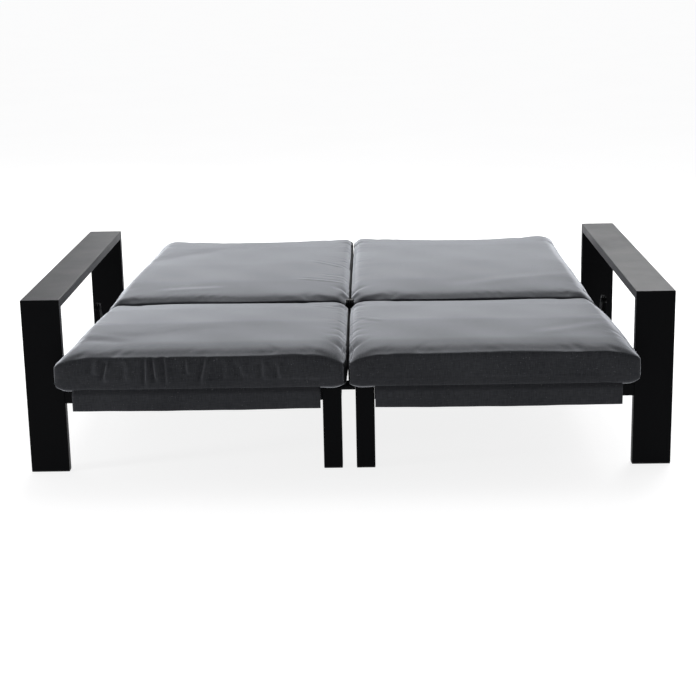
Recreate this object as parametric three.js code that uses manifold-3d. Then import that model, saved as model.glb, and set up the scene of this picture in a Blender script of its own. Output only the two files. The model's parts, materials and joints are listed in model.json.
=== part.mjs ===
// Futon sofa bed: two mirror-image modules side by side, each with one open arm, a slatted seat
// and a back that folds up about a raised hinge. It is drawn laid flat, as a bed.
// Millimetres. X runs across the width, +Y to the rear and +Z up, with the floor at Z = 0.
import * as THREE from 'three';
import { mergeVertices } from 'three/addons/utils/BufferGeometryUtils.js';
import Module from 'manifold-3d';

const wasm = await Module();
wasm.setup();

// Driving dimensions. Y is measured from the front plane of the legs.
const overallWidth = 1840;
const moduleGap = 40;
const armDepth = 1030;
const armHeight = 510;
const clearance = 0.3; // between pieces that touch
const wall = 2; // of the leg and rail tubes
const tubeRadius = 2.5; // rounding of a tube's long edges

const armTube = { width: 110, thick: 26 };
const slimTube = { width: 54, thick: 26 };
const rail = { thick: 26, height: 36, bottom: 205 };
const deck = { bottom: 242, height: 18, wall: 1.5, step: 0.5 }; // the layer that carries the cushions
const cushion = { bottom: 261, thick: 111, round: 34, corner: 64 };
const seat = { front: -100, rear: 541, outer: 800, inner: 13 };
const back = { front: 549, rear: 1490, outer: 800, inner: 13, rearOuter: 748 };
const flap = { outer: 760, inner: 76, y: -88, thick: 3, bottom: 214, top: 262 };
const seatGrid = { front: -72, rear: 532, bar: 40, stringer: 30, bars: 5, endGap: 2 };
const backFrame = { front: 560, rear: 1478, footBar: 30, sideBar: 30, outer: 732, inner: 46 };
const backGrid = { bar: 40, bars: 5, stringer: 30 };
const hinge = { y: 545, z: 352, boss: 16, plate: 5, pin: 5, slack: 1.8, foot: 60, footStart: 554 };
const innerPlate = { thick: 4, gap: 1.2, spacing: 1, stepTop: 234, root: 10 };
const hingeFootBottom = rail.bottom + 2;
const pinHead = { thick: 1.5, radius: 8, segments: 24 };
const pinNut = { thick: 4, radius: 9, endRadius: 8.2 };
const glide = { lip: 3, plug: 16, inset: 0.5 };
const link = { depth: 70, thick: 6 }; // closes the gap between the modules at both leg pairs

const half = overallWidth / 2;
const armInner = half - armTube.width;
const moduleInner = moduleGap / 2;
const slimOuter = moduleInner + slimTube.width;
const railTop = rail.bottom + rail.height;
const deckTop = deck.bottom + deck.height;
const mitreSize = 400; // of the cutting block, well past any tube
const middleY = (seat.front + back.rear) / 2; // the object's middle, which becomes Y = 0

const finish = {
  frame: new THREE.MeshStandardMaterial({ color: 0x17181a, roughness: 0.55, metalness: 0.4 }),
  steel: new THREE.MeshStandardMaterial({ color: 0x26272a, roughness: 0.45, metalness: 0.8 }),
  plastic: new THREE.MeshStandardMaterial({ color: 0x101112, roughness: 0.7, metalness: 0 }),
  cloth: new THREE.MeshStandardMaterial({ color: 0x5b5d61, roughness: 0.95, metalness: 0 }),
};

// Solids: three.js makes each shape, and these join or cut them.
function solidOf(geometry) {
  const bare = geometry.index ? geometry.toNonIndexed() : geometry.clone();
  bare.deleteAttribute('normal');
  bare.deleteAttribute('uv');
  const merged = mergeVertices(bare, 1e-3);
  return new wasm.Manifold(new wasm.Mesh({
    numProp: 3,
    vertProperties: merged.attributes.position.array,
    triVerts: new Uint32Array(merged.index.array),
  }));
}

function geometryOf(solid) {
  const mesh = solid.getMesh();
  const geometry = new THREE.BufferGeometry();
  geometry.setAttribute('position', new THREE.BufferAttribute(mesh.vertProperties, 3));
  geometry.setIndex(new THREE.BufferAttribute(mesh.triVerts, 1));
  geometry.computeVertexNormals();
  return geometry;
}

const joined = (pieces) => geometryOf(pieces.map(solidOf).reduce((sum, s) => sum.add(s)));
const cut = (piece, tools) =>
  geometryOf(tools.map(solidOf).reduce((rest, s) => rest.subtract(s), solidOf(piece)));

function named(name, geometry, material) {
  const mesh = new THREE.Mesh(geometry, material.clone());
  mesh.name = name;
  return mesh;
}

// A block between two corners.
function block(low, high) {
  const size = high.map((v, i) => v - low[i]);
  const middle = high.map((v, i) => (v + low[i]) / 2);
  return new THREE.BoxGeometry(...size).translate(...middle);
}

function roundedRectangle(width, height, radius) {
  const shape = new THREE.Shape();
  const x = width / 2 - radius;
  const y = height / 2 - radius;
  const quarter = Math.PI / 2;
  [[x, y], [-x, y], [-x, -y], [x, -y]].forEach(([cx, cy], i) =>
    shape.absarc(cx, cy, radius, i * quarter, (i + 1) * quarter));
  return shape;
}

function rectanglePath(width, height) {
  const x = width / 2;
  const y = height / 2;
  return new THREE.Path([[x, y], [-x, y], [-x, -y], [x, -y]]
    .map((p) => new THREE.Vector2(...p)));
}

// Turns a shape drawn across an axis, and pushed along Z, so that it runs along that axis.
function turnedTo(axis, geometry) {
  if (axis === 'x') return geometry.rotateY(Math.PI / 2);
  if (axis === 'y') return geometry.rotateX(-Math.PI / 2);
  return geometry;
}

// A tube with open ends along an axis, filling the box between two corners.
function tube(axis, low, high, thickness = wall, hollow = true) {
  const [dx, dy, dz] = high.map((v, i) => v - low[i]);
  const section = { x: [dz, dy, dx], y: [dx, dz, dy], z: [dx, dy, dz] }[axis];
  const shape = roundedRectangle(section[0], section[1], tubeRadius);
  if (hollow) {
    shape.holes.push(rectanglePath(section[0] - 2 * thickness, section[1] - 2 * thickness));
  }
  const geometry = new THREE.ExtrudeGeometry(shape, {
    depth: section[2], bevelEnabled: false, curveSegments: 3,
  }).translate(0, 0, -section[2] / 2);
  return turnedTo(axis, geometry).translate(...high.map((v, i) => (v + low[i]) / 2));
}

// A large block whose face is a 45 degree plane through a point, for cutting a mitre.
// The block turns about X when the mitre lies in the YZ plane, and about Z when in the XY plane.
function mitreBlock(point, about, quarterTurns) {
  const size = mitreSize;
  const turn = Math.PI / 4 + quarterTurns * Math.PI / 2;
  const geometry = new THREE.BoxGeometry(size, size, size);
  if (about === 'x') geometry.translate(0, size / 2, 0).rotateX(turn);
  else geometry.translate(0, size / 2, 0).rotateZ(turn);
  return geometry.translate(...point);
}

// Arm: a front leg, a top rail and a rear leg of one wide flat tube, mitred at the top corners.
function armPieces() {
  const [x0, x1] = [armInner, half];
  const legBottom = glide.lip + clearance;
  const gap = clearance / 2;
  const frontLeg = tube('z', [x0, 0, legBottom], [x1, armTube.thick, armHeight]);
  const rearLeg = tube('z', [x0, armDepth - armTube.thick, legBottom], [x1, armDepth, armHeight]);
  const topRail = tube('y', [x0, 0, armHeight - armTube.thick], [x1, armDepth, armHeight]);
  const middleX = (x0 + x1) / 2;
  const frontCorner = [middleX, 0, armHeight];
  const rearCorner = [middleX, armDepth, armHeight];
  const moved = ([x, y, z], dy) => [x, y + dy, z];
  return {
    arm_front_leg: cut(frontLeg, [mitreBlock(moved(frontCorner, -gap), 'x', 0)]),
    arm_rear_leg: cut(rearLeg, [mitreBlock(moved(rearCorner, gap), 'x', 1)]),
    arm_top_rail: cut(topRail, [
      mitreBlock(moved(frontCorner, gap), 'x', 2),
      mitreBlock(moved(rearCorner, -gap), 'x', 3),
    ]),
  };
}

// Slim legs at the inner side, and the four rails that join the legs.
function basePieces() {
  const legBottom = glide.lip + clearance;
  const rearFace = armDepth - slimTube.thick;
  const slimLeg = (y) =>
    tube('z', [moduleInner, y, legBottom], [slimOuter, y + slimTube.thick, railTop]);
  const crossRail = (y) => tube('x', [slimOuter + clearance, y, rail.bottom],
    [armInner - clearance, y + rail.thick, railTop]);
  const sideRail = (x) => tube('y', [x, rail.thick + clearance, rail.bottom],
    [x + rail.thick, rearFace - clearance, railTop]);
  return {
    slim_front_leg: slimLeg(0),
    slim_rear_leg: slimLeg(rearFace),
    front_rail: crossRail(0),
    rear_rail: crossRail(rearFace),
    outer_side_rail: sideRail(armInner - rail.thick),
    inner_side_rail: sideRail(moduleInner),
  };
}

// A glide closes a leg's open foot: a lip under the tube and a plug inside it.
function glideFor(x0, x1, y0, y1) {
  const inset = glide.inset;
  const grip = wall + clearance;
  return joined([
    tube('z', [x0 + inset, y0 + inset, 0], [x1 - inset, y1 - inset, glide.lip], wall, false),
    block([x0 + grip, y0 + grip, glide.lip - 1], [x1 - grip, y1 - grip, glide.lip + glide.plug]),
  ]);
}

function glidePieces() {
  const rearY = armDepth - armTube.thick;
  return {
    arm_front_glide: glideFor(armInner, half, 0, armTube.thick),
    arm_rear_glide: glideFor(armInner, half, rearY, armDepth),
    slim_front_glide: glideFor(moduleInner, slimOuter, 0, slimTube.thick),
    slim_rear_glide: glideFor(moduleInner, slimOuter, rearY, armDepth),
  };
}

// A grid of hollow bars welded flat: outer bodies joined, then every bore cut through.
// Its stringers stand deck.step inside the cross bars' top and bottom faces.
function grid(bars) {
  const bore = ({ axis, low, high }) => {
    const along = { x: 0, y: 1, z: 2 }[axis];
    const inside = (v, i, sign) => (i === along ? v - sign : v + sign * deck.wall);
    return block(low.map((v, i) => inside(v, i, 1)), high.map((v, i) => inside(v, i, -1)));
  };
  const body = joined(bars.map(({ low, high }) => block(low, high)));
  return cut(body, bars.map(bore));
}

// Seat grid: cross bars on the side rails, the first one reaching out in front of the legs.
function seatGridPiece() {
  const { front, rear, bar, stringer, bars, endGap } = seatGrid;
  const z = [deck.bottom, deckTop];
  const firstOnRails = rail.thick - bar / 2;
  const pitch = (rear - bar - firstOnRails) / (bars - 2);
  const cross = (x0, x1, y) => ({ axis: 'x', low: [x0, y, z[0]], high: [x1, y + bar, z[1]] });
  const along = (x) => ({
    axis: 'y',
    low: [x, front + bar / 2, z[0] + deck.step],
    high: [x + stringer, rear - bar / 2, z[1] - deck.step],
  });
  const list = [cross(flap.inner, flap.outer, front)];
  for (let i = 0; i < bars - 1; i++) {
    list.push(cross(moduleInner + endGap, armInner - endGap, firstOnRails + i * pitch));
  }
  list.push(along(flap.inner + stringer), along(flap.outer - 2 * stringer));
  return grid(list);
}

// Back frame: a foot bar between the hinge plates, two side bars and a mitred head bar.
function backFramePieces() {
  const { front, rear, footBar, sideBar, outer, inner } = backFrame;
  const z = [deck.bottom, deckTop];
  const gap = clearance / 2;
  const footOuter = armInner - hinge.slack - hinge.plate - clearance;
  const footInner = innerPlate.gap + 2 * innerPlate.thick + innerPlate.spacing + clearance;
  const sideStart = front + footBar + clearance;
  const side = (x) => tube('y', [x, sideStart, z[0]], [x + sideBar, rear, z[1]], deck.wall);
  const head = tube('x', [inner, rear - sideBar, z[0]], [outer, rear, z[1]], deck.wall);
  const outerCorner = (shift) => [outer + shift, rear, deck.bottom];
  const innerCorner = (shift) => [inner + shift, rear, deck.bottom];
  return {
    back_foot_bar: tube('x', [footInner, front, z[0]], [footOuter, front + footBar, z[1]], deck.wall),
    back_outer_side_bar: cut(side(outer - sideBar), [mitreBlock(outerCorner(gap), 'z', 0)]),
    back_inner_side_bar: cut(side(inner), [mitreBlock(innerCorner(-gap), 'z', 3)]),
    back_head_bar: cut(head, [
      mitreBlock(outerCorner(-gap), 'z', 2),
      mitreBlock(innerCorner(gap), 'z', 1),
    ]),
  };
}

// Back grid: cross bars and one stringer that fill the back frame, flush with it.
function backGridPiece() {
  const { front, rear, footBar, sideBar, outer, inner } = backFrame;
  const { bar, bars, stringer } = backGrid;
  const z = [deck.bottom, deckTop];
  const x = [inner + sideBar + clearance, outer - sideBar - clearance];
  const y = [front + footBar + clearance, rear - sideBar - clearance];
  const pitch = (y[1] - y[0] - bar) / bars;
  const list = [];
  for (let i = 0; i < bars; i++) {
    const start = y[0] + (i + 0.5) * pitch;
    list.push({ axis: 'x', low: [x[0], start, z[0]], high: [x[1], start + bar, z[1]] });
  }
  const middle = (x[0] + x[1]) / 2;
  list.push({
    axis: 'y',
    low: [middle - stringer / 2, y[0], z[0] + deck.step],
    high: [middle + stringer / 2, y[1], z[1] - deck.step],
  });
  return grid(list);
}

// A plate outline in the YZ plane: a straight foot and a round boss about the hinge axis.
function plateOutline(footStart, footEnd, footBottom, footTop) {
  const lean = 0.35; // how far round the boss, in radians, the straight sides meet it
  const onBoss = (angle) => [
    hinge.y + hinge.boss * Math.cos(angle), hinge.z + hinge.boss * Math.sin(angle),
  ];
  const shape = new THREE.Shape();
  shape.moveTo(footStart, footBottom);
  shape.lineTo(footEnd, footBottom);
  shape.lineTo(footEnd, footTop);
  shape.lineTo(...onBoss(-lean));
  shape.absarc(hinge.y, hinge.z, hinge.boss, -lean, Math.PI + lean, false);
  shape.lineTo(footStart, footTop);
  shape.closePath();
  return shape;
}

// Pushes a YZ outline along X between two places, with a hole round the hinge axis.
function plate(outline, x0, x1) {
  const hole = new THREE.Path();
  hole.absarc(hinge.y, hinge.z, hinge.pin + clearance, 0, 2 * Math.PI, false);
  outline.holes.push(hole);
  const flat = new THREE.ExtrudeGeometry(outline, {
    depth: x1 - x0, bevelEnabled: false, curveSegments: 10,
  });
  const toYZ = new THREE.Matrix4().set(0, 0, 1, x0, 1, 0, 0, 0, 0, 1, 0, 0, 0, 0, 0, 1);
  return flat.applyMatrix4(toYZ);
}

// A revolved pin along X: rings are [place along X, radius] from one end to the other.
function pinAlongX(rings) {
  const profile = [[rings[0][0], 0], ...rings, [rings[rings.length - 1][0], 0]];
  const points = profile.map(([x, r]) => new THREE.Vector2(r, x));
  return new THREE.LatheGeometry(points, pinHead.segments)
    .rotateZ(-Math.PI / 2)
    .translate(0, hinge.y, hinge.z);
}

// Hinges: a fixed plate on each side rail, a moving plate at each end of the foot bar, and a pin.
function hingePieces() {
  const fixedFoot = [hinge.y - hinge.foot / 2, hinge.y + hinge.foot / 2];
  const movingOutline = () =>
    plateOutline(hinge.footStart, backFrame.front + hinge.foot, deck.bottom, deckTop);
  const outerFixed = [armInner + clearance, armInner + clearance + hinge.plate];
  const outerMoving = [armInner - hinge.slack - hinge.plate, armInner - hinge.slack];
  const { thick, gap, spacing, stepTop, root } = innerPlate;
  const innerFixed = [gap, gap + thick];
  const innerMoving = [gap + thick + spacing, gap + 2 * thick + spacing];

  // The inner fixed plate steps out from the rail's face into the gap between the cushions.
  const railFace = moduleInner - clearance;
  const joggle = joined([
    block([railFace - thick, fixedFoot[0], hingeFootBottom], [railFace, fixedFoot[1], stepTop]),
    block([innerFixed[0], fixedFoot[0], stepTop - thick], [railFace, fixedFoot[1], stepTop]),
    plate(plateOutline(...fixedFoot, stepTop - thick, stepTop + root), ...innerFixed),
  ]);

  const { pin } = hinge;
  const headFace = outerMoving[0] - clearance;
  const nutFace = outerFixed[1] + clearance;
  const innerHeadFace = innerMoving[1] + clearance;
  return {
    fixed: {
      outer_hinge_plate: plate(
        plateOutline(...fixedFoot, hingeFootBottom, railTop), ...outerFixed),
      inner_hinge_plate: joggle,
      outer_hinge_pin: pinAlongX([
        [headFace - pinHead.thick, pinHead.radius], [headFace, pinHead.radius],
        [headFace, pin], [nutFace, pin],
        [nutFace, pinNut.radius], [nutFace + pinNut.thick, pinNut.endRadius],
      ]),
      inner_hinge_pin: pinAlongX([
        [innerFixed[0], pin], [innerHeadFace, pin],
        [innerHeadFace, pinHead.radius], [innerHeadFace + pinHead.thick, pinHead.radius],
      ]),
    },
    moving: {
      outer_recliner_plate: plate(movingOutline(), ...outerMoving),
      inner_recliner_plate: plate(movingOutline(), ...innerMoving),
    },
  };
}

// A cushion: a plan outline with rounded corners, rounded over at its top and bottom edges.
function cushionSolid(front, rear, inner, frontOuter, rearOuter) {
  const corners = [[inner, front], [frontOuter, front], [rearOuter, rear], [inner, rear]];
  const shape = new THREE.Shape();
  corners.forEach((corner, i) => {
    const at = new THREE.Vector2(...corner);
    const before = new THREE.Vector2(...corners[(i + 3) % 4]).sub(at).setLength(cushion.corner);
    const after = new THREE.Vector2(...corners[(i + 1) % 4]).sub(at).setLength(cushion.corner);
    const [start, end] = [before.add(at), after.add(at)];
    if (i === 0) shape.moveTo(start.x, start.y);
    else shape.lineTo(start.x, start.y);
    shape.quadraticCurveTo(at.x, at.y, end.x, end.y);
  });
  shape.closePath();
  const { round, thick, bottom } = cushion;
  return new THREE.ExtrudeGeometry(shape, {
    depth: thick - 2 * round, bevelEnabled: true, bevelThickness: round, bevelSize: round,
    bevelOffset: -round, bevelSegments: 4, curveSegments: 5,
  }).translate(0, 0, bottom + round);
}

function clothPieces() {
  return {
    seat_cushion: cushionSolid(seat.front, seat.rear, seat.inner, seat.outer, seat.outer),
    front_flap: block([flap.inner, flap.y, flap.bottom], [flap.outer, flap.y + flap.thick, flap.top]),
  };
}

function addAll(group, side, pieces, material) {
  for (const [name, geometry] of Object.entries(pieces)) {
    group.add(named(`${side}_${name}`, geometry, material));
  }
}

// One module, drawn on the right-hand side of the middle.
function moduleGroup(side) {
  const hinges = hingePieces();
  const base = new THREE.Group();
  addAll(base, side, { ...armPieces(), ...basePieces() }, finish.frame);
  addAll(base, side, { seat_grid: seatGridPiece() }, finish.frame);
  addAll(base, side, glidePieces(), finish.plastic);
  addAll(base, side, hinges.fixed, finish.steel);
  addAll(base, side, clothPieces(), finish.cloth);

  const folding = new THREE.Group();
  addAll(folding, side, { ...backFramePieces(), back_grid: backGridPiece() }, finish.frame);
  addAll(folding, side, hinges.moving, finish.steel);
  addAll(folding, side, {
    back_cushion: cushionSolid(back.front, back.rear, back.inner, back.outer, back.rearOuter),
  }, finish.cloth);

  const group = new THREE.Group();
  group.add(base, folding);
  return group;
}

// Plates between the slim legs, level with the rails' tops, that hold the two modules together.
function linkPlates() {
  const x = moduleInner - clearance;
  const between = (y0, y1) => block([-x, y0, railTop - link.thick], [x, y1, railTop]);
  return {
    link_plate_front: between(clearance, clearance + link.depth),
    link_plate_rear: between(armDepth - clearance - link.depth, armDepth - clearance),
  };
}

const sofaBed = new THREE.Group();
const right = moduleGroup('right');
const left = moduleGroup('left');
left.scale.x = -1;
sofaBed.add(right, left);
for (const [name, geometry] of Object.entries(linkPlates())) {
  sofaBed.add(named(name, geometry, finish.steel));
}
sofaBed.position.y = -middleY;

export default sofaBed;
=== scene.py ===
import json
import math
import bmesh
import bpy
import numpy as np
from mathutils import Matrix, Vector


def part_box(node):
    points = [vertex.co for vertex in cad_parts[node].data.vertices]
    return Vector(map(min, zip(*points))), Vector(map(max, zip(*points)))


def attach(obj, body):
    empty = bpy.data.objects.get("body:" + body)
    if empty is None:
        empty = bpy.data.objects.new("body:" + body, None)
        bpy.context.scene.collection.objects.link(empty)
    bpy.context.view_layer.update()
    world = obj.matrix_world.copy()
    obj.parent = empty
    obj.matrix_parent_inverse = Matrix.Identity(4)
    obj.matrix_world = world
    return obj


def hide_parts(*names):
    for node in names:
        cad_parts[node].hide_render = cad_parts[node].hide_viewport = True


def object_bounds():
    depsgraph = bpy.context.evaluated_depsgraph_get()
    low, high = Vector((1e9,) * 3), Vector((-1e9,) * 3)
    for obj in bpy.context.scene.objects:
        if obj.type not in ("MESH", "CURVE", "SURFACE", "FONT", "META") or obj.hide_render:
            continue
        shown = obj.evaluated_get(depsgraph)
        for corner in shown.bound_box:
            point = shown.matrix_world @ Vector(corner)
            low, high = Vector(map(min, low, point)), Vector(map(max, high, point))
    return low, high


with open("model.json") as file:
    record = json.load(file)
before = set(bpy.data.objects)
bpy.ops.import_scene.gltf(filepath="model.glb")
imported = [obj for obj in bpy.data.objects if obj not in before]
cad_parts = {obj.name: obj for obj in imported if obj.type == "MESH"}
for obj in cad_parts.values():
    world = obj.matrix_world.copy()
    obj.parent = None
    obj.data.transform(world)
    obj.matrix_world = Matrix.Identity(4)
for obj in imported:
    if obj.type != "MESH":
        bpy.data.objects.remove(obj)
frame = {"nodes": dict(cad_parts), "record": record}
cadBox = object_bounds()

sides = {"left": -1, "right": 1}
mm = 0.001
print("frame loaded:", len(frame["nodes"]), "nodes")


# small helpers for objects, points and shader sums

def newObject(name, mesh):
    made = bpy.data.objects.new(name, mesh)
    bpy.context.scene.collection.objects.link(made)
    return made


def objectFrom(name, bm, smooth=False):
    mesh = bpy.data.meshes.new(name)
    bm.normal_update()
    bm.to_mesh(mesh)
    bm.free()
    if smooth:
        mesh.polygons.foreach_set("use_smooth", [True] * len(mesh.polygons))
    return newObject(name, mesh)


def bakeModifiers(thing):
    # swaps the mesh for its shown form and drops the modifiers
    bpy.context.view_layer.update()
    shown = thing.evaluated_get(bpy.context.evaluated_depsgraph_get())
    mesh = bpy.data.meshes.new_from_object(shown)
    thing.modifiers.clear()
    thing.data = mesh
    return thing


def pointsOf(mesh):
    flat = np.zeros(len(mesh.vertices) * 3)
    mesh.vertices.foreach_get("co", flat)
    return flat.reshape(-1, 3)


def setPoints(mesh, points):
    mesh.vertices.foreach_set("co", points.ravel())
    mesh.update()


def normalsOf(mesh):
    flat = np.zeros(len(mesh.vertices) * 3)
    mesh.vertex_normals.foreach_get("vector", flat)
    return flat.reshape(-1, 3)


def smoothStep(low, high, value):
    t = np.clip((value - low) / (high - low), 0, 1)
    return t * t * (3 - 2 * t)


# a Wire is a socket, and sums on Wires add Math nodes

class Wire:
    def __init__(self, tree, socket=None):
        self.tree = tree
        self.socket = socket

    def node(self, kind, settings=None, sockets=None, out=0):
        made = self.tree.nodes.new(kind)
        for key, value in (settings or {}).items():
            setattr(made, key, value)
        for key, value in (sockets or {}).items():
            if isinstance(value, Wire):
                self.tree.links.new(value.socket, made.inputs[key])
            else:
                made.inputs[key].default_value = value
        return Wire(self.tree, made.outputs[out])

    def sums(self, operation, first, second=0.0):
        return self.node("ShaderNodeMath", {"operation": operation}, {0: first, 1: second})

    def __add__(self, other):
        return self.sums("ADD", self, other)

    def __radd__(self, other):
        return self.sums("ADD", other, self)

    def __sub__(self, other):
        return self.sums("SUBTRACT", self, other)

    def __rsub__(self, other):
        return self.sums("SUBTRACT", other, self)

    def __mul__(self, other):
        return self.sums("MULTIPLY", self, other)

    def __rmul__(self, other):
        return self.sums("MULTIPLY", other, self)

    def part(self, which):
        return self.node("ShaderNodeSeparateXYZ", None, {0: self}, out=which)

    def sin(self):
        return self.sums("SINE", self)

    def abs(self):
        return self.sums("ABSOLUTE", self)

    def floor(self):
        return self.sums("FLOOR", self)

    def fract(self):
        return self.sums("FRACT", self)

    def stretch(self, low, high, newLow=0.0, newHigh=1.0):
        return self.node("ShaderNodeMapRange", {"clamp": True}, {
            "Value": self, "From Min": low, "From Max": high, "To Min": newLow, "To Max": newHigh})

    def mixColour(self, first, second):
        # this Wire is the share of the second colour
        return self.node("ShaderNodeMix", {"data_type": "RGBA"}, {0: self, 6: first, 7: second}, out=2)


def startMaterial(name, constants):
    made = bpy.data.materials.new(name)
    made.use_nodes = True
    made.node_tree.nodes.clear()
    start = Wire(made.node_tree)
    surface = made.node_tree.nodes.new("ShaderNodeBsdfPrincipled")
    output = made.node_tree.nodes.new("ShaderNodeOutputMaterial")
    made.node_tree.links.new(surface.outputs[0], output.inputs[0])
    for key, value in constants.items():
        surface.inputs[key].default_value = value
    return made, start, surface


def feed(surface, **wires):
    names = {"colour": "Base Color", "roughness": "Roughness", "normal": "Normal"}
    for key, wire in wires.items():
        wire.tree.links.new(wire.socket, surface.inputs[names[key]])


def noise(start, place, scale, detail):
    return start.node("ShaderNodeTexNoise", {"noise_dimensions": "3D"}, {
        "Vector": place, "Scale": scale, "Detail": detail, "Roughness": 0.55})


# a plain weave of uneven yarn, with lint caught in it
clothLook = {
    "dark": (0.0185, 0.0195, 0.0225, 1), "light": (0.040, 0.0415, 0.046, 1),
    "threadsPerMetre": 620.0,
    "slubAlong": 38.0, "slubAcross": 420.0, "slubDetail": 2.0,
    "fleckScale": 230.0, "fleckDetail": 1.0, "fleckRange": (0.70, 0.76),
    "fleckColour": (0.075, 0.077, 0.083, 1),
    "cloudScale": 5.0, "cloudDetail": 4.0,
    # shares of the weave, the slubs and the cloud in the colour, then of the weave and slubs elsewhere
    "shadeShares": (0.12, 0.95, 0.3), "shadeRange": (0.48, 0.86),
    "roughShares": (0.3, 0.7), "roughRange": (0.2, 0.8), "roughness": (0.92, 0.74),
    "bumpShares": (0.35, 1.2), "bumpStrength": 0.42, "bumpDepth": 0.3 * mm,
    "sheen": 1.0, "sheenRoughness": 0.36, "sheenTint": (0.86, 0.89, 0.95, 1),
    "specular": 0.07, "ior": 1.45,
}
# the inner end panels get a near-black cloth with almost no sheen: painted shade for the gap between the
# cushions
gapShadeLook = {
    **clothLook, "dark": (0.0020, 0.0021, 0.0024, 1), "light": (0.0060, 0.0062, 0.0070, 1),
    "fleckColour": (0.006, 0.0062, 0.007, 1), "sheen": 0.02,
}


def wovenCloth(name, look):
    made, start, surface = startMaterial(name, {
        "Sheen Weight": look["sheen"], "Sheen Roughness": look["sheenRoughness"],
        "Sheen Tint": look["sheenTint"], "Specular IOR Level": look["specular"], "IOR": look["ior"]})
    uv = start.node("ShaderNodeUVMap", {"uv_map": "clothMap"})
    across = uv.part(0) * look["threadsPerMetre"]
    along = uv.part(1) * look["threadsPerMetre"]
    warp = (across * math.pi).sin().abs()
    weft = (along * math.pi).sin().abs()
    over = ((across.floor() + along.floor()) * 0.5).fract() * 2.0
    weave = over * warp + (1.0 - over) * weft

    def yarn(scaleX, scaleY):
        # noise drawn out along one thread direction
        drawn = uv.node("ShaderNodeMapping", None, {0: uv, "Scale": (scaleX, scaleY, 1.0)})
        return noise(start, drawn, 1.0, look["slubDetail"])

    slub = (yarn(look["slubAlong"], look["slubAcross"]) + yarn(look["slubAcross"], look["slubAlong"])) * 0.5
    place = start.node("ShaderNodeTexCoord", out=3)
    fleck = noise(start, place, look["fleckScale"], look["fleckDetail"]).stretch(*look["fleckRange"])
    cloud = noise(start, place, look["cloudScale"], look["cloudDetail"])
    ofWeave, ofSlub, ofCloud = look["shadeShares"]
    shade = (weave * ofWeave + slub * ofSlub + cloud * ofCloud).stretch(*look["shadeRange"])
    colour = fleck.mixColour(shade.mixColour(look["dark"], look["light"]), look["fleckColour"])
    ofWeave, ofSlub = look["roughShares"]
    rough = (slub * ofSlub + weave * ofWeave).stretch(*look["roughRange"], *look["roughness"])
    ofWeave, ofSlub = look["bumpShares"]
    bump = start.node("ShaderNodeBump", None, {
        "Strength": look["bumpStrength"], "Distance": look["bumpDepth"],
        "Height": weave * ofWeave + slub * ofSlub})
    feed(surface, colour=colour, roughness=rough, normal=bump)
    return made


# hard finishes: a fine grain and a wide smudge, each with its share in the colour and the roughness
powderPaint = {
    "dark": (0.0012, 0.0013, 0.0015, 1), "light": (0.0028, 0.0030, 0.0034, 1),
    "grainScale": 900.0, "grainDetail": 2.0, "smudgeScale": 7.0,
    "colourGrain": 0.6, "colourRange": (0.35, 0.7),
    "roughGrain": 0.3, "roughRange": (0.3, 0.7), "roughness": (0.36, 0.5),
    "bumpStrength": 0.25, "bumpDepth": 0.12 * mm,
    "shader": {"Specular IOR Level": 0.055, "IOR": 1.45, "Metallic": 0.0,
               "Specular Tint": (0.93, 0.94, 1.0, 1), "Sheen Weight": 0.13, "Sheen Roughness": 0.3,
               "Sheen Tint": (0.92, 0.93, 1.0, 1)},
}
blackSteel = {
    "dark": (0.0014, 0.0015, 0.0017, 1), "light": (0.0036, 0.0038, 0.0042, 1),
    "grainScale": 420.0, "grainDetail": 3.0, "smudgeScale": 40.0,
    "colourGrain": 0.5, "colourRange": (0.3, 0.7),
    "roughGrain": 0.0, "roughRange": (0.3, 0.7), "roughness": (0.3, 0.5),
    "bumpStrength": 0.2, "bumpDepth": 0.1 * mm,
    "shader": {"Metallic": 0.0, "Specular IOR Level": 0.07},
}
mouldedPlastic = {
    "dark": (0.008, 0.008, 0.009, 1), "light": (0.016, 0.016, 0.017, 1),
    "grainScale": 1500.0, "grainDetail": 2.0, "smudgeScale": 40.0,
    "colourGrain": 1.0, "colourRange": (0.35, 0.65),
    "roughGrain": 1.0, "roughRange": (0.3, 0.7), "roughness": (0.55, 0.7),
    "bumpStrength": 0.3, "bumpDepth": 0.1 * mm,
    "shader": {"Specular IOR Level": 0.4},
}
smudgeDetail = 3.0


def hardFinish(name, look):
    made, start, surface = startMaterial(name, look["shader"])
    place = start.node("ShaderNodeTexCoord", out=3)
    grain = noise(start, place, look["grainScale"], look["grainDetail"])
    smudge = noise(start, place, look["smudgeScale"], smudgeDetail)

    def blend(grainShare):
        return grain * grainShare + smudge * (1 - grainShare)

    colour = blend(look["colourGrain"]).stretch(*look["colourRange"]).mixColour(look["dark"], look["light"])
    rough = blend(look["roughGrain"]).stretch(*look["roughRange"], *look["roughness"])
    bump = start.node("ShaderNodeBump", None, {
        "Strength": look["bumpStrength"], "Distance": look["bumpDepth"], "Height": grain})
    feed(surface, colour=colour, roughness=rough, normal=bump)
    return made


# near-black cloth with almost no sheen: painted shade for the gap between the cushions
gapShadeCloth = wovenCloth("gapShadeCloth", gapShadeLook)
finishes = {
    "cushion_fabric": wovenCloth("charcoalCloth", clothLook),
    "frame_paint": hardFinish("powderPaint", powderPaint),
    "hinge_steel": hardFinish("blackSteel", blackSteel),
    "glide_plastic": hardFinish("mouldedPlastic", mouldedPlastic),
}


def dress(piece, slotName, body):
    # gives a piece the finish of its slot and the body it rides on
    piece.data.materials.clear()
    piece.data.materials.append(finishes[slotName])
    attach(piece, body)
    return piece


# every CAD node carried over takes the finish of its slot
for part in frame["record"]["subparts"]:
    node = frame["nodes"][part["node"]]
    node.data.materials.clear()
    node.data.materials.append(finishes[part["material_slot"]])
print("materials made:", len(finishes))


# cushions: a rounded blank, remeshed evenly, filled by cloth pressure, then fitted and creased

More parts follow.
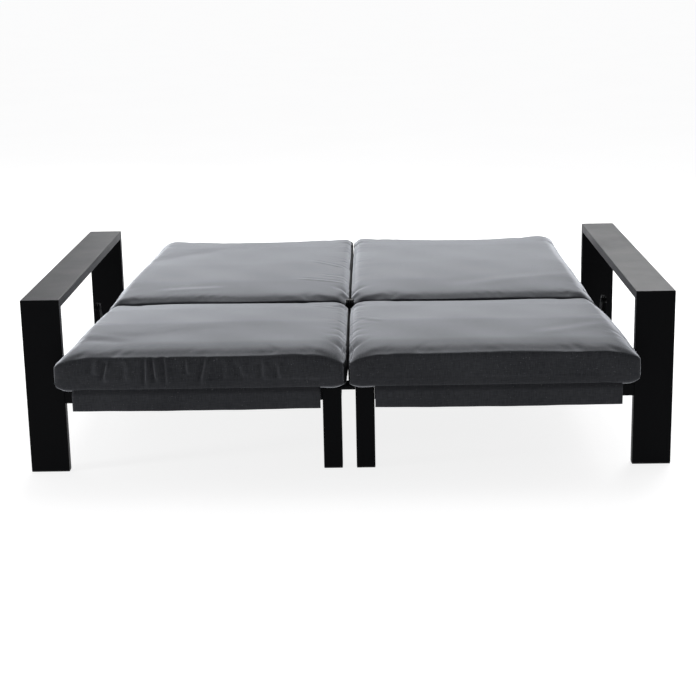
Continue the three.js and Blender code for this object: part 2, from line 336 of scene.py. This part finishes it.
clothSim = {"voxel": 7.5 * mm, "pressure": 4.0, "frames": 20, "tension": 18.0, "bending": 1.2, "quality": 5}
# what both kinds share in being cut out, filled and fitted
cushionMaking = {
    "cornerSegments": 6, "rollSegments": 6, "sideSegments": 3,
    "crownFrom": 0.1, "crownFull": 0.8,
    "beltHeight": 22 * mm, "middleWidth": 0.2, "endMargin": 30 * mm, "cornerMargin": 80 * mm,
    # heights as shares of the cushion's, across the width as shares of the half width
    "riseRange": (0.25, 0.85), "restRange": (0, 0.4),
    "squareRange": (0.78, 0.97), "outerDropRange": (0.87, 1.0), "innerDropRange": (0.93, 1.0),
}
seatCushion = {
    "shy": 3 * mm, "frontRoll": 24 * mm, "rearRoll": 18 * mm, "sideRoll": 9 * mm, "crown": 5 * mm,
    "cap": 10 * mm, "fill": 0.75, "rests": 261.2 * mm,
    "cornerRounds": {"frontInner": 7 * mm, "frontOuter": 9 * mm,
                     "rearInner": 20 * mm, "rearOuter": 22 * mm},
    # lines along the cushion from front to rear: (place along Y, height or distance from the middle)
    "reach": (-0.795, -0.151),
    "top": [(-0.795, 0.3800), (-0.770, 0.3760), (-0.70, 0.3825), (-0.5, 0.3885), (-0.3, 0.3810),
            (-0.17, 0.3690)],
    "outer": {
        "left": [(-0.795, 0.813), (-0.765, 0.820), (-0.725, 0.817), (-0.690, 0.8065), (-0.5, 0.800),
                 (-0.3, 0.793), (-0.15, 0.786)],
        "right": [(-0.795, 0.808), (-0.765, 0.814), (-0.725, 0.812), (-0.690, 0.8055), (-0.5, 0.799),
                  (-0.3, 0.793), (-0.15, 0.786)]},
    "inner": {
        "left": [(-0.795, 0.011), (-0.780, 0.0075), (-0.755, 0.0008), (-0.5, 0.0006), (-0.205, 0.0006),
                 (-0.192, 0.0116), (-0.15, 0.0116)],
        "right": [(-0.795, 0.005), (-0.780, 0.003), (-0.755, 0.0006), (-0.5, 0.0004), (-0.205, 0.0006),
                  (-0.192, 0.0116), (-0.15, 0.0116)]},
    # how far the top edge drops at the ends, and how much of the inner end's bulge is taken out
    "outerDrop": {
        "left": [(-0.795, 0.006), (-0.72, 0.014), (-0.6, 0.026), (-0.3, 0.027), (-0.15, 0.022)],
        "right": [(-0.795, 0.006), (-0.7, 0.012), (-0.5, 0.017), (-0.3, 0.018), (-0.15, 0.016)]},
    "innerDrop": 0.008, "squareInner": 0.55,
    # corners that sag or stand: (end, place along Y, reach along Y, share of the half width, rise)
    "topCorners": [(1, -0.795, 0.17, 0.24, -0.011), (-1, -0.795, 0.15, 0.20, -0.017),
                   (1, -0.151, 0.05, 0.10, -0.006), (-1, -0.151, 0.05, 0.10, -0.008)],
    "undersideCorners": [(1, -0.795, 0.10, 0.09, 0.008), (-1, -0.795, 0.10, 0.09, 0.006)],
}
backCushion = {
    "shy": 3 * mm, "frontRoll": 19 * mm, "rearRoll": 26 * mm, "sideRoll": 11 * mm, "crown": 6 * mm,
    "cap": 11 * mm, "fill": 0.7, "rests": 261.2 * mm,
    "cornerRounds": {"frontInner": 20 * mm, "frontOuter": 20 * mm,
                     "rearInner": 14 * mm, "rearOuter": 42 * mm},
    "reach": (-0.149, 0.792),
    "top": [(-0.149, 0.3785), (-0.115, 0.3785), (-0.07, 0.3812), (0.05, 0.3880), (0.3, 0.3920),
            (0.6, 0.3885), (0.745, 0.3800)],
    "outer": {
        "left": [(-0.15, 0.786), (0.1, 0.776), (0.4, 0.758), (0.7, 0.735), (0.79, 0.729)],
        "right": [(-0.15, 0.786), (0.1, 0.780), (0.4, 0.772), (0.7, 0.765), (0.79, 0.761)]},
    "inner": {
        "left": [(-0.15, 0.0116), (-0.108, 0.0116), (-0.092, 0.0006), (0.2, -0.0008), (0.5, -0.0027),
                 (0.79, -0.0047)],
        "right": [(-0.15, 0.0116), (-0.108, 0.0116), (-0.092, 0.0006), (0.2, 0.0016), (0.5, 0.0035),
                  (0.79, 0.0055)]},
    "outerDrop": {
        "left": [(-0.15, 0.025), (0.4, 0.024), (0.65, 0.014), (0.79, 0.006)],
        "right": [(-0.15, 0.018), (0.3, 0.018), (0.55, 0.013), (0.70, 0.007), (0.79, 0.002)]},
    "innerDrop": 0.008, "squareInner": 0.55,
    "topCorners": [(1, -0.149, 0.05, 0.10, -0.004), (-1, -0.149, 0.05, 0.10, -0.006),
                   (1, 0.792, 0.30, 0.85, 0.009), (-1, 0.792, 0.30, 0.85, 0.009)],
    "undersideCorners": [],
}


def cushionBlank(name, low, high, settings):
    # drawn on the right-hand side: low x is the inner end, high x the outer end
    shy = Vector([settings["shy"]] * 3)
    low, high = low + shy, high - shy
    middle = (low + high) / 2
    bm = bmesh.new()
    bmesh.ops.create_cube(bm, size=1)
    bmesh.ops.scale(bm, vec=high - low, verts=bm.verts)
    bmesh.ops.translate(bm, vec=middle, verts=bm.verts)
    for key, offset in settings["cornerRounds"].items():
        wantRear, wantOuter = key.startswith("rear"), key.endswith("Outer")
        # the one upright edge that stands at this corner
        upright = [e for e in bm.edges
                   if abs(e.verts[0].co.z - e.verts[1].co.z) > 1 * mm
                   and min(abs(e.verts[0].co.x - low.x), abs(e.verts[0].co.x - high.x)) < 1e-6
                   and min(abs(e.verts[0].co.y - low.y), abs(e.verts[0].co.y - high.y)) < 1e-6
                   and (e.verts[0].co.y > middle.y) == wantRear
                   and (e.verts[0].co.x > middle.x) == wantOuter]
        bmesh.ops.bevel(bm, geom=upright, offset=offset, segments=cushionMaking["cornerSegments"],
                        profile=0.5, affect="EDGES", material=-1)

    def alongX(edge):
        # rim edges of the wrapped panel, above or below, front or rear
        a, b = edge.verts[0].co, edge.verts[1].co
        level = abs(a.z - b.z) < 1e-6 and min(abs(a.z - low.z), abs(a.z - high.z)) < 1e-6
        return level and len(edge.link_faces) == 2 and edge.calc_face_angle(0) > 1 and (
            abs(a.y - b.y) < 1e-6 and abs(a.x - b.x) > 50 * mm)

    for key, wantRear in (("frontRoll", False), ("rearRoll", True)):
        rim = [e for e in bm.edges if alongX(e) and (e.verts[0].co.y > middle.y) == wantRear]
        bmesh.ops.bevel(bm, geom=rim, offset=settings[key], segments=cushionMaking["rollSegments"],
                        profile=0.5, affect="EDGES", material=-1)
    rest = [e for e in bm.edges if len(e.link_faces) == 2 and e.calc_face_angle(0) > 1]
    bmesh.ops.bevel(bm, geom=rest, offset=settings["sideRoll"], segments=cushionMaking["sideSegments"],
                    profile=0.5, affect="EDGES", material=-1)
    bmesh.ops.recalc_face_normals(bm, faces=bm.faces)
    return objectFrom(name, bm)


def fillCushion(blank, low, high, settings):
    remesh = blank.modifiers.new("even", "REMESH")
    remesh.mode = "VOXEL"
    remesh.voxel_size = clothSim["voxel"]
    bakeModifiers(blank)
    points = pointsOf(blank.data)
    middle, half = (low + high) / 2, (high - low) / 2
    u, v, w = ((points - np.array(middle)) / np.array(half)).T
    dome = (1 - np.abs(u) ** 4) * (1 - np.abs(v) ** 4)
    upper = smoothStep(cushionMaking["crownFrom"], cushionMaking["crownFull"], w)
    points[:, 2] += settings["crown"] * dome * upper
    setPoints(blank.data, points)
    pressCloth(blank, settings["cap"])
    return blank


def pressCloth(blank, cap):
    # lets the cover swell under pressure, then keeps how far each point moved, up to the cap
    before = pointsOf(blank.data)
    cloth = blank.modifiers.new("filling", "CLOTH")
    cloth.settings.quality = clothSim["quality"]
    cloth.settings.use_pressure = True
    cloth.settings.uniform_pressure_force = clothSim["pressure"]
    cloth.settings.tension_stiffness = clothSim["tension"]
    cloth.settings.compression_stiffness = clothSim["tension"]
    cloth.settings.bending_stiffness = clothSim["bending"]
    cloth.settings.effector_weights.gravity = 0
    cloth.collision_settings.use_collision = False
    scene = bpy.context.scene
    for step in range(1, clothSim["frames"] + 1):
        scene.frame_set(step)
    shown = blank.evaluated_get(bpy.context.evaluated_depsgraph_get())
    after = pointsOf(shown.data)
    scene.frame_set(1)
    blank.modifiers.clear()
    move = after - before
    length = np.linalg.norm(move, axis=1, keepdims=True)
    move *= np.minimum(1, cap / np.maximum(length, 1e-9))
    setPoints(blank.data, before + move)


def extentLine(places, values, wanted, count=22):
    # the largest value in each slice along Y, smoothed, as a line to look values up on
    edges = np.linspace(places[wanted].min(), places[wanted].max(), count + 1)
    centres = (edges[1:] + edges[:-1]) / 2
    line = np.array([values[wanted & (places >= a) & (places <= b)].max()
                     for a, b in zip(edges[:-1], edges[1:])])
    padded = np.pad(line, 2, mode="edge")
    return centres, np.convolve(padded, [0.1, 0.2, 0.4, 0.2, 0.1], mode="valid")


slicesUp, innerBlur = 16, 2


def lookUp(line, y, blur=8):
    # a line of (place, value) pairs, rounded at its corners over blur samples each way
    places, values = zip(*line)
    fine = np.linspace(places[0], places[-1], 200)
    coarse = np.interp(fine, places, values)
    window = np.hanning(2 * blur + 3)[1:-1]
    soft = np.convolve(np.pad(coarse, blur, mode="edge"), window / window.sum(), mode="valid")
    return np.interp(y, fine, soft)


def fitCushion(points, side, settings):
    # carries the filled shape onto its own outline, resting place and crown, keeping its wrinkles
    making = cushionMaking
    front, rear = settings["reach"]
    x, y, z = points.T.copy()
    y = front + (y - y.min()) * (rear - front) / (y.max() - y.min())
    level = z - z.min()
    belt = np.abs(z - (z.min() + z.max()) / 2) < making["beltHeight"]
    nearMiddle = np.abs(x - (x.min() + x.max()) / 2) < making["middleWidth"]

    # width: both ends go to their lines
    outerNow = np.interp(y, *extentLine(y, x, belt))
    innerNow = -np.interp(y, *extentLine(y, -x, belt))
    outer, inner = lookUp(settings["outer"][side], y), lookUp(settings["inner"][side], y, innerBlur)
    x = inner + (x - innerNow) * (outer - inner) / (outerNow - innerNow)

    # the inner end stands up squarer than the outer one, as the two modules press together there
    u = 2 * (x - inner) / (outer - inner) - 1
    alongside = (u < 0) & (y > front + making["cornerMargin"]) & (y < rear - making["cornerMargin"])
    heights, reachNow = extentLine(z, inner - x, alongside, slicesUp)
    recess = reachNow.max() - np.interp(z, heights, reachNow)
    x = x - settings["squareInner"] * recess * smoothStep(*making["squareRange"], -u)

    # height: the top goes to its line, drops at the ends and sags at the corners
    flat = nearMiddle & (y > front + making["endMargin"]) & (y < rear - making["endMargin"])
    topNow = np.interp(y, *extentLine(y, z, flat, slicesUp))
    lift = lookUp(settings["top"], y) - topNow
    rise = smoothStep(*making["riseRange"], level / (z.max() - z.min()))
    u = 2 * (x - inner) / (outer - inner) - 1
    z = z - rise * lookUp(settings["outerDrop"][side], y) * smoothStep(*making["outerDropRange"], u)
    z = z - rise * settings["innerDrop"] * smoothStep(*making["innerDropRange"], -u)
    for corners, part in (("topCorners", rise), ("undersideCorners", 1 - rise)):
        for end, place, reach, share, height in settings[corners]:
            near = 1 - smoothStep(0, reach, np.abs(y - place))
            z = z + height * near * smoothStep(1 - share, 1.0, u * end) * part
    low = 1 - smoothStep(*making["restRange"], level / (z.max() - z.min()))
    z = z + lift * rise + (settings["rests"] - z.min()) * low
    return np.stack([x, y, np.maximum(z, settings["rests"])], 1)


# puckers and folds, drawn as soft ridges: (one end, other end, width in mm, height in mm)
frontPuckers = [
    # x and z of the lower and upper ends on the left seat's front face
    ((-0.672, 0.300), (-0.660, 0.352), 7, 3.4), ((-0.556, 0.288), (-0.553, 0.362), 6, 3.2),
    ((-0.527, 0.300), (-0.532, 0.362), 7, 3.6), ((-0.498, 0.292), (-0.500, 0.366), 6, 3.0),
    ((-0.440, 0.318), (-0.440, 0.356), 6, 2.6), ((-0.402, 0.290), (-0.385, 0.360), 7, 3.4),
    ((-0.700, 0.320), (-0.690, 0.360), 9, 2.0), ((-0.228, 0.300), (-0.226, 0.350), 8, 2.4),
    ((-0.184, 0.305), (-0.186, 0.345), 8, 2.4), ((-0.610, 0.300), (-0.606, 0.350), 10, 1.8),
    ((-0.335, 0.300), (-0.330, 0.350), 9, 1.8), ((-0.285, 0.310), (-0.288, 0.345), 10, 1.6),
]
puckerHeight = 2.5  # how much the puckers' heights are raised
topFolds = {
    # x and y of the two ends on the top face
    "backRight": [((0.36, -0.04), (0.76, 0.10), 34, 1.3)],
    "backLeft": [((-0.14, 0.33), (-0.025, 0.24), 9, 1.6), ((-0.17, 0.07), (-0.03, 0.02), 9, 1.6),
                 ((-0.10, 0.12), (-0.03, 0.09), 8, 1.2), ((-0.62, -0.06), (-0.42, -0.03), 20, 1.0)],
    "seatRight": [((0.10, -0.50), (0.03, -0.44), 12, 1.0), ((0.55, -0.66), (0.75, -0.56), 24, 1.0)],
    "seatLeft": [((-0.62, -0.66), (-0.78, -0.60), 22, 1.2), ((-0.12, -0.26), (-0.03, -0.30), 12, 1.2)],
}


swell = {"height": 0.9 * mm, "above": 0.30,
         # waves over the cushion: (strength, turns along X, turns along Y, share of the phase)
         "waves": [(1.0, 9.1, 5.3, 1), (0.7, 15.7, -12.1, 2), (0.5, 23, 27, 3)]}


def ridge(first, second, line):
    # a ridge with a hollow beside it, fading out at both ends
    (a0, b0), (a1, b1), width, height = line
    along = np.array([a1 - a0, b1 - b0])
    length = np.linalg.norm(along)
    along = along / length
    da, db = first - a0, second - b0
    t = (da * along[0] + db * along[1]) / length
    across = (-da * along[1] + db * along[0]) / (width * mm)
    ends = smoothStep(-0.15, 0.25, t) * (1 - smoothStep(0.75, 1.15, t))
    return height * mm * ends * (np.exp(-across ** 2) - 0.7 * np.exp(-(across - 1.6) ** 2))


def creaseCushion(thing, kind, side):
    mesh = thing.data
    points, normals = pointsOf(mesh), normalsOf(mesh)
    x, y, z = points.T
    move = np.zeros(len(points))
    if kind == "seat" and side == "left":
        facing = smoothStep(0.35, 0.8, -normals[:, 1])
        for line in frontPuckers:
            move += puckerHeight * ridge(x, z, line) * facing
    topward = smoothStep(0.5, 0.9, normals[:, 2])
    for line in topFolds[kind + side.title()]:
        move += ridge(x, y, line) * topward
    # small uneven swells that differ from one cushion to the next
    phase = {"left": 0.3, "right": 1.9}[side] + (0.8 if kind == "back" else 0)
    waves = sum(strength * np.sin(x * alongX + y * alongY + share * phase)
                for strength, alongX, alongY, share in swell["waves"])
    broad = smoothStep(0.5, 0.95, np.abs(normals).max(1))
    move += swell["height"] * waves * broad * (z > swell["above"])
    setPoints(mesh, points + normals * move[:, None])


# seams: a fine rolled welt round each end panel, laid into the cushion's edge
seam = {"radius": 1.4 * mm, "sink": 0.6 * mm, "steps": 120, "lean": (0.55, 0.83), "reach": 0.09}


def seamRing(thing, end):
    # the points where the end panel turns into the wrapped panel, and their angles round it
    points, normals = pointsOf(thing.data), normalsOf(thing.data)
    lean, outward = normals[:, 0] * end, points[:, 0] * end
    least, most = seam["lean"]
    edge = (lean > least) & (lean < most) & (outward > outward.max() - seam["reach"])
    points, normals = points[edge], normals[edge]
    low, high = points.min(0), points.max(0)
    # angles are measured on the loop's own box, as the loop is long and thin
    fromMiddle = (points - (low + high) / 2) / ((high - low) / 2)
    return points, normals, np.arctan2(fromMiddle[:, 2], fromMiddle[:, 1])


def makeSeam(name, cushion, end):
    points, normals, angle = seamRing(cushion, end)
    ring = []
    edges = np.linspace(-math.pi, math.pi, seam["steps"] + 1)
    for a, b in zip(edges[:-1], edges[1:]):
        here = (angle >= a) & (angle < b)
        if here.any():
            ring.append(points[here].mean(0) - normals[here].mean(0) * seam["sink"])
    ring = np.array(ring)
    curve = bpy.data.curves.new(name, "CURVE")
    curve.dimensions = "3D"
    curve.bevel_depth = seam["radius"]
    curve.bevel_resolution = 1
    spline = curve.splines.new("POLY")
    spline.points.add(len(ring) - 1)
    spline.points.foreach_set("co", np.concatenate([ring, np.ones((len(ring), 1))], 1).ravel())
    spline.use_cyclic_u = True
    drawn = bpy.data.objects.new(name + "Line", curve)
    bpy.context.scene.collection.objects.link(drawn)
    bpy.context.view_layer.update()
    mesh = bpy.data.meshes.new_from_object(drawn.evaluated_get(bpy.context.evaluated_depsgraph_get()))
    bpy.data.objects.remove(drawn)
    mesh.polygons.foreach_set("use_smooth", [True] * len(mesh.polygons))
    return newObject(name, mesh)


def mapCloth(mesh):
    # a cloth map in metres, laid on each face from the side it faces most
    layer = mesh.uv_layers.new(name="clothMap")
    vertexOf = np.zeros(len(mesh.loops), int)
    mesh.loops.foreach_get("vertex_index", vertexOf)
    normals = np.zeros(len(mesh.polygons) * 3)
    mesh.polygons.foreach_get("normal", normals)
    sizes = np.zeros(len(mesh.polygons), int)
    mesh.polygons.foreach_get("loop_total", sizes)
    facing = np.repeat(np.abs(normals.reshape(-1, 3)).argmax(1), sizes)
    points = pointsOf(mesh)[vertexOf]
    first = np.where(facing == 0, points[:, 1], points[:, 0])
    second = np.where(facing == 2, points[:, 1], points[:, 2])
    layer.data.foreach_set("uv", np.stack([first, second], 1).ravel())


# where the painted gap shade goes: faces near the middle, and sideways-facing faces round the hinge notch
gapShadeFaces = {"deep": 5 * mm, "notchDeep": 15 * mm, "lean": 0.85}


def paintGapShade(mesh):
    # the faces where the two modules meet, and those round the hinge notch, take the near-black cloth:
    # painted shade in the gap
    mesh.materials.append(gapShadeCloth)
    normals, centres = np.zeros(len(mesh.polygons) * 3), np.zeros(len(mesh.polygons) * 3)
    mesh.polygons.foreach_get("normal", normals)
    mesh.polygons.foreach_get("center", centres)
    away = np.abs(centres[::3])
    leans = np.abs(normals[::3]) > gapShadeFaces["lean"]
    inside = (away < gapShadeFaces["deep"]) | (leans & (away < gapShadeFaces["notchDeep"]))
    mesh.polygons.foreach_set("material_index", inside.astype(int))


def makeCushions(kind, body, settings):
    # one filled shape, fitted and creased for each side, with a welt round each end
    low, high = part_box(f"right_{kind}_cushion")
    filled = fillCushion(cushionBlank(f"{kind}Blank", low, high, settings), low, high, settings)
    pieces = {}
    for side, sign in sides.items():
        mesh = filled.data.copy()
        setPoints(mesh, fitCushion(pointsOf(mesh), side, settings))
        if sign < 0:
            mesh.transform(Matrix.Scale(-1, 4, (1, 0, 0)))
            mesh.flip_normals()
        piece = newObject(f"{kind}Cushion{side.title()}", mesh)
        fine = piece.modifiers.new("fine", "SUBSURF")
        fine.levels = fine.render_levels = 1
        bakeModifiers(piece)
        piece.data.polygons.foreach_set("use_smooth", [True] * len(piece.data.polygons))
        mapCloth(piece.data)
        dress(piece, "cushion_fabric", body.format(side))
        # the inner end and the faces round the hinge notch take painted shade
        paintGapShade(piece.data)
        creaseCushion(piece, kind, side)
        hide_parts(f"{side}_{kind}_cushion")
        pieces[side] = piece
        for end, endName in ((sign, "Outer"), (-sign, "Inner")):
            welt = makeSeam(f"{kind}Seam{endName}{side.title()}", piece, end)
            mapCloth(welt.data)
            dress(welt, "cushion_fabric", body.format(side))
    bpy.data.objects.remove(filled)
    print(kind, "cushions made:", len(pieces["left"].data.polygons), "faces each")
    return pieces


seats = makeCushions("seat", "base", seatCushion)
makeCushions("back", "{}_back", backCushion)


# front flap: a hemmed strip of the same cloth, sewn under the seat's front edge
flapCloth = {
    "thick": 1.6 * mm, "sag": 2 * mm, "forward": 12 * mm, "overlap": 14 * mm, "leftLonger": 7 * mm,
    "tuck": 9 * mm, "tuckShare": 0.25, "columns": 96, "rows": 16,
    # ripples along the hem: (depth, turns over the width in radians)
    "wide": (0.96 * mm, 17), "fine": (0.576 * mm, 41), "fineStart": 2,
}


def makeFlap(side):
    low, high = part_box(f"{side}_front_flap")
    top = high.z + flapCloth["overlap"]
    front = low.y - flapCloth["forward"]
    if side == "left":
        low.x -= flapCloth["leftLonger"]
    width, drop = high.x - low.x, top - low.z
    bm = bmesh.new()
    bmesh.ops.create_grid(bm, x_segments=flapCloth["columns"], y_segments=flapCloth["rows"], size=0.5)
    bmesh.ops.scale(bm, vec=(width, drop, 1), verts=bm.verts)
    bmesh.ops.rotate(bm, verts=bm.verts, matrix=Matrix.Rotation(math.pi / 2, 3, "X"))
    bmesh.ops.translate(bm, vec=((low.x + high.x) / 2, front, (low.z + top) / 2), verts=bm.verts)
    (wideDepth, wideTurns), (fineDepth, fineTurns) = flapCloth["wide"], flapCloth["fine"]
    for v in bm.verts:
        along = (v.co.x - low.x) / width
        down = (top - v.co.z) / drop
        ripple = (wideDepth * math.sin(along * wideTurns + sides[side])
                  + fineDepth * math.sin(along * fineTurns + flapCloth["fineStart"]))
        tuck = flapCloth["tuck"] * (1 - smoothStep(0, flapCloth["tuckShare"], down))
        v.co.y += ripple * down + tuck
        v.co.z -= flapCloth["sag"] * math.sin(along * math.pi) * down
    # the tuck and the ripples take up cloth, so the flat strip is a little longer than it hangs
    flatDrop = sum(face.calc_area() for face in bm.faces) / width
    piece = objectFrom(f"frontFlap{side.title()}", bm, smooth=True)
    solid = piece.modifiers.new("cloth", "SOLIDIFY")
    solid.thickness = flapCloth["thick"]
    solid.offset = 0
    bakeModifiers(piece)
    mapCloth(piece.data)
    dress(piece, "cushion_fabric", "base")
    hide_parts(f"{side}_front_flap")


for side in sides:
    makeFlap(side)
print("flaps made")


# floor, lights and camera
floorLook = {
    "size": 400.0, "dark": (0.30, 0.30, 0.302, 1), "light": (0.32, 0.32, 0.322, 1), "glow": 0.84,
    "roughness": 0.9, "toneScale": 1.2, "toneDetail": 2.0, "toneRange": (0.3, 0.7),
}
# the surroundings are darker in front than behind, so the fronts stay dark and the tops shine
surroundings = {
    "front": (0.14, 0.14, 0.145, 1), "rear": (1.25, 1.25, 1.265, 1),
    "range": (-0.3, 0.7), "strength": 0.75,
}
# (name, place, what it points at, width and height, watts)
softBoxes = [
    ("rearSoftBox", (0.6, 2.8, 2.5), (0, 0.5, 0.3), (4.5, 2.0), 212),
    ("topSoftBox", (0.3, 1.3, 3.5), (0, 0.3, 0), (4.0, 2.6), 92),
    ("leftFill", (-3.1, -1.35, 0.8), (-0.4, -0.8, 0.32), (0.4, 0.4), 20),
]
# stands in front of the middle, a little above the arms, turned and tilted by small angles
viewCamera = {
    "lens": 72.41, "sensor": 36, "shiftUp": -0.10,
    "across": 0.0723, "inFront": 3.7125, "height": 1.4241,
    "yaw": 1.009, "pitch": 12.777, "roll": -1.12,
}


def makeFloor():
    bm = bmesh.new()
    bmesh.ops.create_grid(bm, x_segments=1, y_segments=1, size=floorLook["size"] / 2)
    floor = objectFrom("floor", bm)
    made, start, surface = startMaterial("paleFloor", {
        "Roughness": floorLook["roughness"], "Specular IOR Level": 0.0,
        "Emission Color": (1, 1, 1, 1), "Emission Strength": floorLook["glow"]})
    place = start.node("ShaderNodeTexCoord", out=3)
    tone = noise(start, place, floorLook["toneScale"], floorLook["toneDetail"])
    feed(surface, colour=tone.stretch(*floorLook["toneRange"]).mixColour(
        floorLook["dark"], floorLook["light"]))
    floor.data.materials.append(made)


def softBox(name, place, aim, size, watts):
    light = bpy.data.lights.new(name, "AREA")
    light.shape = "RECTANGLE"
    light.size, light.size_y = size
    light.energy = watts
    made = newObject(name, light)
    made.location = place
    made.rotation_euler = (Vector(aim) - Vector(place)).to_track_quat("-Z", "Y").to_euler()


def makeWorld():
    world = bpy.data.worlds.new("studio")
    bpy.context.scene.world = world
    world.use_nodes = True
    tree = world.node_tree
    tree.nodes.clear()
    start = Wire(tree)
    direction = start.node("ShaderNodeTexCoord", out=0)
    rearward = direction.part(1).stretch(*surroundings["range"])
    colour = rearward.mixColour(surroundings["front"], surroundings["rear"])
    lit = start.node("ShaderNodeBackground", None, {
        "Color": colour, "Strength": surroundings["strength"]})
    output = tree.nodes.new("ShaderNodeOutputWorld")
    tree.links.new(lit.socket, output.inputs[0])


def makeCamera():
    camera = bpy.data.cameras.new("camera")
    camera.lens = viewCamera["lens"]
    camera.sensor_width = viewCamera["sensor"]
    camera.shift_y = viewCamera["shiftUp"]
    made = newObject("camera", camera)
    yaw, pitch, roll = (math.radians(viewCamera[key]) for key in ("yaw", "pitch", "roll"))
    frontOfBox = cadBox[0][1]
    made.matrix_world = (
        Matrix.Translation((viewCamera["across"], frontOfBox - viewCamera["inFront"], viewCamera["height"]))
        @ Matrix.Rotation(yaw, 4, "Z")
        @ Matrix.Rotation(math.pi / 2 - pitch, 4, "X")
        @ Matrix.Rotation(roll, 4, "Z"))
    bpy.context.scene.camera = made


makeFloor()
makeWorld()
for box in softBoxes:
    softBox(*box)
makeCamera()
bpy.context.scene.view_settings.view_transform = "Standard"
print("studio made")
